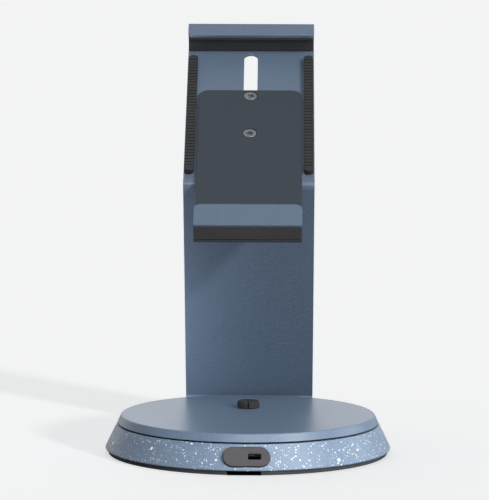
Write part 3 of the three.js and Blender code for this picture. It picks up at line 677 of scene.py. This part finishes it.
def mast_plate():
    runs = sheet_runs()
    total = runs[-1][0] + runs[-1][1]
    half = extent("mast_plate")[1].x
    plate_run = runs[4]
    plate_along = (HEAD.inverted() @ Vector((0, *plate_run[2]))).y

    def on_plate(along):
        return plate_run[0] + along - plate_along

    def on_tongue(y):
        return y - TONGUE_FRONT_Y

    outline = rounded([
        (-half + TONGUE_CHAMFER, 0, 1), (half - TONGUE_CHAMFER, 0, 1), (half, TONGUE_CHAMFER, 1),
        (half, total, LIP_CORNER), (-half, total, LIP_CORNER), (-half, TONGUE_CHAMFER, 1),
    ], 10)
    slot_low = middle("guide_screw_lower", HEAD).y - JAW_OPENING_TRAVEL - GUIDE_SLOT_RADIUS
    slot_high = middle("guide_screw_upper", HEAD).y + JAW_CLOSING_TRAVEL + GUIDE_SLOT_RADIUS
    cable_low = on_tongue(-SPINDLE_BORE_RADIUS)
    cable_high = on_tongue(CABLE_OUTLET_Y + SPINDLE_BORE_RADIUS)
    holes = [
        upright_oblong(0, on_plate(slot_low), on_plate(slot_high), GUIDE_SLOT_RADIUS),
        upright_oblong(0, cable_low, cable_high, SPINDLE_BORE_RADIUS),
    ]
    holes += at_each(CAP_SCREWS, lambda x, y: circle(x, on_tongue(y), CAP_BOSS_RADIUS + GAP))
    blank = slab(outline, -SHEET / 2, SHEET / 2, 0.3, holes)
    for start, length, _, _, curvature in runs:
        steps = 10 if curvature else 1
        for i in range(steps + 1):
            geometry = [*blank.verts, *blank.edges, *blank.faces]
            level = (0, start + length * i / steps, 0)
            bmesh.ops.bisect_plane(blank, geom=geometry, plane_co=level, plane_no=(0, 1, 0), dist=1e-5)
    for vertex in blank.verts:
        vertex.co = folded(vertex.co, runs)
    bmesh.ops.recalc_face_normals(blank, faces=blank.faces)
    sinks = at_each(SPINDLE_SCREWS, lambda x, y: countersink(
        x, y, TONGUE_TOP_Z - SUNK, TONGUE_BOTTOM_Z - PAST, SCREW_SHANK, SPINDLE_SCREW_HEAD,
    ))
    piece("mast_plate", carve(blank, *sinks))


# ---------- base ----------
def non_slip_mat():
    radius, _, top = extent("non_slip_mat")[1]
    outline = rounded([(0, 0, 0), (radius, 0, 0.5), (radius, top, 0.2), (0, top, 0)], 4)
    half = CABLE_CHANNEL_WIDTH / 2
    channel = upright_oblong(CABLE_CHANNEL_X, -radius - 2 * half, CABLE_ENTRY_Y + half, half)
    piece("non_slip_mat", carve(lathe(outline), prism(channel, -PAST, top + PAST)))


def base_plate():
    low, high = extent("base_plate")
    holes = at_each(BASE_SCREWS, lambda x, y: countersink(
        x, y, low.z + SUNK, high.z + PAST, SCREW_SHANK, BASE_SCREW_HEAD,
    ))
    entry = rod(CABLE_ENTRY_RADIUS, low.z - PAST, high.z + PAST, 0, CABLE_ENTRY_Y)
    outline = rounded([(0, low.z, 0), (high.x, low.z, 0.3), (high.x, high.z, 0.3), (0, high.z, 0)], 3)
    piece("base_plate", carve(lathe(outline), entry, *holes))


def ballast_weight():
    """A thick open ring, with its way through for the cable at the front."""
    low, high = extent("ballast_weight")
    inner = 28
    half_way = 15.5
    start = math.degrees(math.asin(half_way / high.x))
    inner_start = math.degrees(math.asin(half_way / inner))
    outline = arc(0, 0, high.x, -90 + start, 270 - start, 120)
    outline += arc(0, 0, inner, 270 - inner_start, -90 + inner_start, 60)
    holes = at_each(BASE_SCREWS, lambda x, y: circle(x, y, BASE_BOSS_RADIUS + GAP))
    piece("ballast_weight", slab(outline, low.z, high.z, 0.4, holes))


def lock_recess():
    """Room behind the slot for a security lock's bolt, and a flat seat for the backing plate."""
    front = -RING_WALL * math.cos(CONE_ANGLE) - 1.0
    depth = 14
    return prism(rectangle(-15, -5.2, 15, 14.8), front - depth, front)


def slot_outline(spare=0.0):
    half_width = (LOCK_SLOT["width"] + spare) / 2
    half_height = (LOCK_SLOT["height"] + spare) / 2
    middle_x = LOCK_SLOT["offset"]
    return rectangle(middle_x - half_width, -half_height, middle_x + half_width, half_height, 0.35, 0.35)


def lock_screw_bores(bottom, top):
    return [
        rod(LOCK_BORE_RADIUS, bottom, top, side * LOCK_SCREW_REACH, LOCK_SCREW_RISE, SCREW_STEPS)
        for side in (-1, 1)
    ]


def ring_housing():
    bottom = extent("ring_housing")[0].z
    top = RING_TOP_Z
    plate_rim = extent("base_plate")[1]
    plate_seat = plate_rim.z + GAP
    plate_radius = plate_rim.x + GAP
    rim = RING_WALL + 0.1
    hub = SPINDLE_RADIUS + GAP + 0.1
    shell = lathe(rounded([
        (plate_radius, bottom, 0.3), (RING_RADIUS, bottom, 0.5), (RING_RADIUS, RING_WIDEST_Z + 0.35, 0.3),
        (cone_radius(top), top, 0.25), (cone_radius(top) - rim, top, 0.5),
        (cone_radius(DECK_TOP_Z) - rim, DECK_TOP_Z, 0.4), (hub, DECK_TOP_Z, 0.3), (hub, DECK_BOTTOM_Z, 0.3),
        (cone_radius(DECK_BOTTOM_Z) - RING_WALL, DECK_BOTTOM_Z, 0.4),
        (cone_radius(plate_seat) - RING_WALL - 0.4, plate_seat, 0.1), (plate_radius, plate_seat, 0.1),
    ], 4))
    bosses = at_each(
        BASE_SCREWS, lambda x, y: rod(BASE_BOSS_RADIUS, plate_seat, DECK_BOTTOM_Z + 0.5, x, y)
    )
    bores = at_each(
        BASE_SCREWS, lambda x, y: rod(SCREW_BORE, plate_seat - PAST, DECK_BOTTOM_Z + 0.8, x, y)
    )
    pin_low, pin_high = extent("swivel_stop_pin")
    pin_radius = (pin_high.x - pin_low.x) / 2
    pin = (pin_low + pin_high) / 2
    pin_hole = rod(pin_radius + GAP, DECK_BOTTOM_Z - PAST, DECK_TOP_Z + PAST, pin.x, pin.y)
    badge_low, badge_high = extent("lock_badge", LOCK)
    badge = badge_high - badge_low
    seat = prism(lying_oblong(badge.x + 2 * GAP, badge.y + 2 * GAP), badge_low.z - GAP, 8)
    slot = prism(slot_outline(2 * GAP), -10, 10)
    openings = [placed(tool, LOCK) for tool in (lock_recess(), seat, slot, *lock_screw_bores(-10, 0))]
    piece("ring_housing", carve(join(shell, *bosses), *bores, pin_hole, *openings))


def lock_badge():
    low, high = extent("lock_badge", LOCK)
    outline = lying_oblong(high.x - low.x, high.y - low.y)
    body = slab(outline, low.z, high.z, 0.45, [slot_outline()])
    bores = lock_screw_bores(low.z - PAST, high.z - 0.6)
    piece("lock_badge", carve(body, *bores), LOCK)


def lock_backing_plate():
    low, high = extent("lock_backing_plate", LOCK)
    holes = [slot_outline()]
    for side in (-1, 1):
        holes.append(circle(side * LOCK_SCREW_REACH, LOCK_SCREW_RISE, LOCK_BORE_RADIUS))
    outline = rectangle(low.x, low.y, high.x, high.y, 1, 1)
    piece("lock_backing_plate", slab(outline, low.z, high.z, 0.2, holes), LOCK)


# ---------- swivel ----------
def ring_washer(node, inner, edge=0.15, place=STAND):
    """A flat ring with softened edges."""
    low, high = extent(node, place)
    centre = middle(node, place)
    outer = (high.x - low.x) / 2
    outline = rounded([
        (inner, low.z, edge), (outer, low.z, edge), (outer, high.z, edge), (inner, high.z, edge),
    ], 3)
    piece(node, moved(lathe(outline, RING_STEPS // 3), centre.x, centre.y, 0), place)


def swivel_stop_pin():
    low, high = extent("swivel_stop_pin")
    centre = middle("swivel_stop_pin")
    radius = (high.x - low.x) / 2
    outline = rounded([(0, low.z, 0), (radius, low.z, 0.4), (radius, high.z, 0.4), (0, high.z, 0)], 4)
    piece("swivel_stop_pin", moved(lathe(outline, SCREW_STEPS), centre.x, centre.y, 0))


def pivot_spindle():
    """A hollow shaft under a screwed-on flange, with the tab that meets the stop pin."""
    low, high = extent("pivot_spindle")
    bore = SPINDLE_BORE_RADIUS
    shaft = SPINDLE_RADIUS
    flange = high.x
    flange_bottom = high.z - 2.8
    body = lathe(rounded([
        (bore, low.z, 0.3), (shaft, low.z, 0.6), (shaft, flange_bottom, 0.2),
        (flange, flange_bottom, 0.3), (flange, high.z, 0.3), (bore, high.z, 0.3),
    ], 4), ROUND_STEPS)
    tab = slab(rectangle(-3, low.y, 3, 2 - flange, 0.8), flange_bottom, high.z, 0.2)
    holes = at_each(
        SPINDLE_SCREWS, lambda x, y: rod(SCREW_BORE, flange_bottom - PAST, high.z + PAST, x, y)
    )
    piece("pivot_spindle", carve(join(body, tab), *holes))


def chamfered_hexagon(across_flats, bottom, top):
    """A hexagonal nut's body with its corners turned down at both faces."""
    corner = across_flats / math.sqrt(3)
    crown = 0.55 * (corner - across_flats / 2) + across_flats / 2 - 0.2
    drop = (corner - crown) * math.tan(math.radians(30))
    turned = lathe([
        (0, bottom), (crown, bottom), (corner + 0.01, bottom + drop), (corner + 0.01, top - drop),
        (crown, top), (0, top),
    ], ROUND_STEPS)
    return common(prism(hexagon(across_flats), bottom, top), turned)


def pivot_nut():
    low, high = extent("pivot_nut")
    body = chamfered_hexagon(high.x - low.x, low.z, high.z)
    bore = rod(SPINDLE_RADIUS + GAP, low.z - PAST, high.z + PAST, steps=ROUND_STEPS)
    piece("pivot_nut", carve(body, bore))


def top_cap():
    skirt = 2.6
    bottom = RING_TOP_Z + SEAM
    shell = lathe(rounded([
        (0, CAP_CEILING_Z, 0), (cone_radius(CAP_CEILING_Z) - skirt, CAP_CEILING_Z, 0.5),
        (cone_radius(bottom) - skirt, bottom, 0.4), (cone_radius(bottom), bottom, 0.2),
        (cone_radius(CAP_TOP_Z), CAP_TOP_Z, 1.0), (0, CAP_TOP_Z, 0),
    ], 8))
    bosses = at_each(
        CAP_SCREWS, lambda x, y: rod(CAP_BOSS_RADIUS, TONGUE_BOTTOM_Z + GAP, CAP_CEILING_Z + 0.5, x, y)
    )
    bores = at_each(
        CAP_SCREWS, lambda x, y: rod(1.55, TONGUE_BOTTOM_Z - PAST, CAP_CEILING_Z + 0.6, x, y)
    )
    half = extent("mast_plate")[1].x + 0.4
    notch = prism(rectangle(-half, 56, half, 96), 0, CAP_CEILING_Z)
    outlet = rod(
        GROMMET_NECK + GAP, CAP_CEILING_Z - PAST, CAP_TOP_Z + PAST, 0, CABLE_OUTLET_Y, 64,
    )
    piece("top_cap", carve(join(shell, *bosses), *bores, notch, outlet))


def cable_grommet():
    """A rubber outlet, wider above and below the cap than in its hole, with a slit to its bore."""
    low, high = extent("cable_grommet")
    foot = 5.5
    neck = GROMMET_NECK
    radius = high.x
    bore = 1.4
    flange_top = CAP_CEILING_Z - GAP
    seat = CAP_TOP_Z + GAP
    body = lathe(rounded([
        (bore, low.z, 0.3), (foot, low.z, 0.3), (foot, flange_top, 0.2), (neck, flange_top, 0.1),
        (neck, seat, 0.1), (radius, seat, 0.3), (radius, high.z, 1.1), (bore, high.z, 0.4),
    ], 8), ROUND_STEPS)
    slit = prism(rectangle(-0.4, -radius - PAST, 0.4, 0), low.z - PAST, high.z + PAST)
    piece("cable_grommet", moved(carve(body, slit), 0, CABLE_OUTLET_Y, 0))


# ---------- head ----------
def hook_pad():
    """A block above the tablet's edge, with a thin leg down between the hook and the glass."""
    low, high = extent("hook_pad", HEAD)
    underside = TABLET_HEIGHT + 0.4
    outline = rounded([
        (underside, low.z, 0.3), (high.y, low.z, 0.6), (high.y, high.z, 0.6), (low.y, high.z, 0.2),
        (low.y, GLASS_CLEARANCE, 0.2), (underside, GLASS_CLEARANCE, 0.4),
    ], 5)
    piece("hook_pad", cross_section(outline, high.x - low.x, 0.25), HEAD)


def back_pad(node):
    """A rubber strip with fine grooves across it."""
    low, high = extent(node, HEAD)
    centre = middle(node, HEAD)
    radius = 2.4
    body = slab(rectangle(low.x, low.y, high.x, high.y, radius, radius), low.z, high.z, 0.4)
    pitch = 3.0
    groove = Matrix.Diagonal((20, 0.8, 0.9, 1))
    grooves = bmesh.new()
    count = int((high.y - low.y - 2 * radius) / pitch)
    first = centre.y - pitch * (count - 1) / 2
    for i in range(count):
        spot = Matrix.Translation((centre.x, first + pitch * i, high.z))
        bmesh.ops.create_cube(grooves, size=1.0, matrix=spot @ groove)
    piece(node, carve(body, grooves), HEAD)


# ---------- jaw ----------
def jaw_slide():
    """The leaf behind the tablet, countersunk behind for the jaw's screws and in front for the guides'."""
    low, high = extent("jaw_slide", HEAD)
    leaf = slab(rectangle(low.x, low.y, high.x, high.y, 0.6, 6), low.z, high.z, 0.3)
    sinks = at_each(JAW_SCREWS, lambda x, y: countersink(
        x, y, low.z + SUNK, high.z + PAST, SCREW_SHANK, JAW_SCREW_HEAD,
    ), HEAD)
    sinks += at_each(GUIDE_SCREWS, lambda x, y: countersink(
        x, y, high.z - SUNK, low.z - PAST, GUIDE_SHANK, GUIDE_HEAD,
    ), HEAD)
    piece("jaw_slide", carve(leaf, *sinks), HEAD)


def jaw_screw_bores(bottom, top):
    return at_each(JAW_SCREWS, lambda x, y: rod(SCREW_BORE, bottom, top, x, y, SCREW_STEPS), HEAD)


def jaw_block():
    low, high = extent("jaw_block", HEAD)
    side = rounded([
        (low.y, low.z, 0.4), (high.y, low.z, 0.3), (high.y, high.z, 0.3), (low.y, high.z, 0.4),
    ], 4)
    bores = jaw_screw_bores(low.z - PAST, high.z + PAST)
    piece("jaw_block", carve(cross_section(side, high.x - low.x, 0.9), *bores), HEAD)


def jaw_front_plate():
    low, high = extent("jaw_front_plate", HEAD)
    body = slab(rectangle(low.x, low.y, high.x, high.y, 0.6, 4), low.z, high.z, 0.3)
    bores = jaw_screw_bores(low.z - PAST, high.z - 0.6)
    piece("jaw_front_plate", carve(body, *bores), HEAD)


def jaw_pad():
    """An L of rubber: a strip under the tablet's edge and a leg up between the lip and the glass."""
    low, high = extent("jaw_pad", HEAD)
    strip_top = low.y + 1.0
    outline = rounded([
        (low.y, low.z, 0.2), (strip_top, low.z, 0.2), (strip_top, GLASS_CLEARANCE, 0.2),
        (high.y, GLASS_CLEARANCE, 0.2), (high.y, high.z, 0.2), (low.y, high.z, 0.2),
    ], 3)
    piece("jaw_pad", cross_section(outline, high.x - low.x, 0.2), HEAD)


# ---------- fasteners ----------
def turned_over(length):
    """Stands a screw of that length, drawn from 0 up, on its head."""
    return Matrix.Translation((0, 0, length)) @ Matrix.Rotation(math.pi, 4, "X")


def countersunk_screw(node, shank, head, head_up, place=STAND):
    """A flat-headed screw with a hexagonal socket and a bevelled point."""
    low, high = extent(node, place)
    centre = middle(node, place)
    length = high.z - low.z
    socket_depth = 0.4 * head
    body = lathe(rounded([
        (0, 0, 0), (shank, 0, 0.35), (shank, length - (head - shank), 0.3), (head, length, 0.12),
        (0, length, 0),
    ], 4), SCREW_STEPS)
    screw = carve(body, prism(hexagon(head), length - socket_depth, length + PAST))
    if not head_up:
        screw.transform(turned_over(length))
    piece(node, moved(screw, centre.x, centre.y, low.z), place)


def pan_screw(node, shank, head, head_height, socket, place=STAND):
    """A low-headed screw, head down, with a rounded head and a hexagonal socket of that radius."""
    low, high = extent(node, place)
    centre = middle(node, place)
    length = high.z - low.z
    body = lathe(rounded([
        (0, 0, 0), (shank, 0, 0.3), (shank, length - head_height, 0.15),
        (head, length - head_height, 0.15), (head, length, 0.5), (0, length, 0),
    ], 5), SCREW_STEPS)
    socket_depth = 0.9
    screw = carve(body, prism(hexagon(2 * socket), length - socket_depth, length + PAST))
    screw.transform(turned_over(length))
    piece(node, moved(screw, centre.x, centre.y, low.z), place)


def dome_nut(node):
    """A cap nut: a chamfered hexagon under a dome, bored from the front."""
    low, high = extent(node, HEAD)
    centre = middle(node, HEAD)
    hexagon_height = 3.2
    body = chamfered_hexagon(high.x - low.x, high.z - hexagon_height, high.z)
    dome_radius = 4.0
    dome_top = high.z - 2
    dome = lathe(rounded([
        (0, low.z, 0), (dome_radius, low.z, 2.6), (dome_radius, dome_top, 0), (0, dome_top, 0),
    ], 12), SCREW_STEPS)
    bore = rod(GUIDE_BORE, low.z + 1.1, high.z + PAST)
    piece(node, moved(carve(join(body, dome), bore), centre.x, centre.y, 0), HEAD)


def fasteners():
    for node in BASE_SCREWS:
        countersunk_screw(node, SCREW_SHANK, BASE_SCREW_HEAD, head_up=False)
    for node in SPINDLE_SCREWS:
        countersunk_screw(node, SCREW_SHANK, SPINDLE_SCREW_HEAD, head_up=True)
    for node in CAP_SCREWS:
        pan_screw(node, shank=1.25, head=4.4, head_height=1.8, socket=1.5)
    for side in ("left", "right"):
        pan_screw(f"lock_screw_{side}", shank=1.2, head=2.3, head_height=1.6, socket=1.0, place=LOCK)
        countersunk_screw(f"jaw_screw_{side}", SCREW_SHANK, JAW_SCREW_HEAD, head_up=False, place=HEAD)
    for end in ("lower", "upper"):
        countersunk_screw(f"guide_screw_{end}", GUIDE_SHANK, GUIDE_HEAD, head_up=True, place=HEAD)
        ring_washer(f"guide_bush_{end}", GUIDE_BORE, 0.15, HEAD)
        ring_washer(f"guide_washer_{end}", GUIDE_BORE, 0.3, HEAD)
        dome_nut(f"guide_nut_{end}")


def build_stand():
    for make in (non_slip_mat, base_plate, ballast_weight, ring_housing, lock_badge, lock_backing_plate):
        make()
    ring_washer("bearing_washer", SPINDLE_RADIUS + 2 * GAP)
    ring_washer("friction_washer", SPINDLE_RADIUS + 0.5)
    for make in (swivel_stop_pin, pivot_spindle, pivot_nut, top_cap, cable_grommet, mast_plate, hook_pad):
        make()
    back_pad("back_pad_left")
    back_pad("back_pad_right")
    for make in (jaw_slide, jaw_block, jaw_front_plate, jaw_pad):
        make()
    fasteners()


# ---------- studio ----------
def camera():
    """A long lens in front of the stand, a little above it and looking slightly down."""
    data = bpy.data.cameras.new("camera")
    data.lens = 274.65
    data.sensor_width = 36
    data.clip_start = 0.1
    data.clip_end = 100
    holder = bpy.data.objects.new("camera", data)
    position = Matrix.Translation((0.02068, -2.14946, 0.358842))
    turn = Matrix.Rotation(math.radians(0.613), 4, "Z")
    pitch = Matrix.Rotation(math.radians(90 - 6.451), 4, "X")
    roll = Matrix.Rotation(math.radians(0.21), 4, "Z")
    holder.matrix_world = position @ turn @ pitch @ roll
    bpy.context.scene.collection.objects.link(holder)
    bpy.context.scene.camera = holder


def staged(name, bm, material, height=0.0):
    """A stage object at a height in metres, made from a bmesh in metres."""
    mesh = bpy.data.meshes.new(name)
    bm.to_mesh(mesh)
    bm.free()
    mesh.materials.append(material)
    holder = bpy.data.objects.new(name, mesh)
    holder.location = (0, 0, height)
    bpy.context.scene.collection.objects.link(holder)
    return holder


def plain(name, colour, glow=0.0):
    """A matt stage material, very slightly mottled."""
    finish = Finish(name, 0.9, specular=0.0)
    finish.colour(finish.mix(finish.noise(0.5), shade(colour, 0.99), shade(colour, 1.01)))
    finish.shader.inputs["Emission Color"].default_value = (1.0, 1.0, 1.0, 1.0)
    finish.shader.inputs["Emission Strength"].default_value = glow
    return finish.material


def wide_disc():
    """A floor so wide that it runs on past the horizon of the picture."""
    bm = bmesh.new()
    bmesh.ops.create_circle(bm, cap_ends=True, segments=128, radius=FLOOR_REACH)
    return bm


def only_seen(holder):
    """Lets the camera see a stage object that neither lights nor shades the stand."""
    holder.visible_diffuse = False
    holder.visible_glossy = False
    holder.visible_transmission = False
    holder.visible_shadow = False


def backdrop():
    """A pale dome round the floor, for views that look above the horizon."""
    bm = bmesh.new()
    bmesh.ops.create_uvsphere(bm, u_segments=64, v_segments=32, radius=FLOOR_REACH - 1.0)
    only_seen(staged("backdrop", bm, plain("backdrop", BLACK, BACKDROP_GLOW)))


def floors():
    """The pale floor that is seen, and a duller one just under it that sends light up on to the stand."""
    seen = staged("floor", wide_disc(), plain("floor", FLOOR, FLOOR_GLOW))
    only_seen(seen)
    under = staged("floor_light", wide_disc(), plain("floor_light", FLOOR_LIGHT), -0.0005)
    under.visible_camera = False
    # The floor's glow would light the cable channel, so a dark patch lies in it: painted shade that stands
    # in for the channel's shadow, coloured like the rubber.
    half = CABLE_CHANNEL_WIDTH / 2
    front = -extent("non_slip_mat")[1].x + GAP
    outline = rectangle(CABLE_CHANNEL_X - half, front, CABLE_CHANNEL_X + half, CABLE_ENTRY_Y)
    patch = prism(outline, 0.0, 0.02)
    bmesh.ops.scale(patch, verts=patch.verts, vec=(MM, MM, MM))
    staged("channel_shade", patch, plain("channel_shade", RUBBER_AND_CHANNEL_SHADE))
    return seen


def light_reach(light, pieces, state):
    """Makes a light reach only those pieces (INCLUDE), or everything but them (EXCLUDE)."""
    group = bpy.data.collections.new(light.name + "_reach")
    light.light_linking.receiver_collection = group
    for shown in pieces:
        group.objects.link(shown)
    for member in group.collection_objects:
        member.light_linking.link_state = state


def aim(holder, position, back):
    """Places a light with its back to a direction, so that it shines the other way."""
    holder.location = position
    holder.rotation_mode = "QUATERNION"
    holder.rotation_quaternion = Vector(back).to_track_quat("Z", "Y")
    bpy.context.scene.collection.objects.link(holder)


def sun(name, azimuth, elevation, strength, softness):
    """Parallel light from an azimuth right of the camera's side and an elevation, in degrees."""
    data = bpy.data.lights.new(name, "SUN")
    data.energy = strength
    data.angle = math.radians(softness)
    holder = bpy.data.objects.new(name, data)
    side = math.radians(azimuth)
    rise = math.radians(elevation)
    back = (math.sin(side) * math.cos(rise), -math.cos(side) * math.cos(rise), math.sin(rise))
    aim(holder, (0, 0, 0), back)
    return holder


def card(name, position, back, width, height, power):
    """A small soft panel of light that the camera doesn't see."""
    data = bpy.data.lights.new(name, "AREA")
    data.shape = "RECTANGLE"
    data.size = width
    data.size_y = height
    data.energy = power
    holder = bpy.data.objects.new(name, data)
    holder.visible_camera = False
    aim(holder, position, back)
    return holder


def surroundings(*glows):
    """A dim room with a broad glow round each (direction, tightness, strength)."""
    world = bpy.data.worlds.new("room")
    world.use_nodes = True
    tree = world.node_tree
    tree.nodes.clear()
    direction = tree.nodes.new("ShaderNodeTexCoord").outputs["Generated"]
    total = 0.0
    for towards, tightness, strength in glows:
        dot = tree.nodes.new("ShaderNodeVectorMath")
        dot.operation = "DOT_PRODUCT"
        tree.links.new(direction, dot.inputs[0])
        dot.inputs[1].default_value = Vector(towards).normalized()
        facing = math_node(tree, "MAXIMUM", dot.outputs["Value"], 0.0)
        spread = math_node(tree, "POWER", facing, tightness)
        glow = math_node(tree, "MULTIPLY", spread, strength)
        total = math_node(tree, "ADD", glow, total)
    background = tree.nodes.new("ShaderNodeBackground")
    output = tree.nodes.new("ShaderNodeOutputWorld")
    tree.links.new(total, background.inputs["Strength"])
    background.inputs["Color"].default_value = (0.98, 1.0, 1.02, 1.0)
    tree.links.new(background.outputs["Background"], output.inputs["Surface"])
    bpy.context.scene.world = world


def shown_pieces(*nodes):
    return [bpy.data.objects[node + "_shape"] for node in nodes]


def studio():
    """Soft lights on the stand, and a lower key for the floor that gives its long shadows."""
    camera()
    backdrop()
    seen_floor = floors()
    for name, azimuth, elevation, strength, softness, floor_state in (
        ("key", 36, 21, 1.15, 5, "EXCLUDE"),
        ("floor_key", 36, 14, 1.72, 5, "INCLUDE"),
        ("front_box", 0, 45, 0.85, 25, "EXCLUDE"),
        ("right_box", 50, 40, 1.0, 25, "EXCLUDE"),
        ("rear_box", 110, 22, 0.5, 25, "EXCLUDE"),
    ):
        light_reach(sun(name, azimuth, elevation, strength, softness), [seen_floor], floor_state)
    base = shown_pieces("ring_housing", "top_cap", "lock_badge", "non_slip_mat")
    light_reach(sun("low_box", 40, 8, 3.2, 25), base, "INCLUDE")
    left = card(
        "left_card", position=(-0.12, 0.025, 0.05), back=(-0.5, -0.6, -0.25),
        width=0.10, height=0.12, power=0.17,
    )
    light_reach(left, shown_pieces("mast_plate"), "INCLUDE")
    above = ((0, 0, 1), 2, 0.36)
    left_side = ((-1, 0, 0.15), 2, 0.47)
    behind = ((-0.15, 1, 0.1), 4, 1.4)
    surroundings(above, left_side, behind)
    bpy.context.scene.view_settings.view_transform = "Standard"


build_stand()
studio()
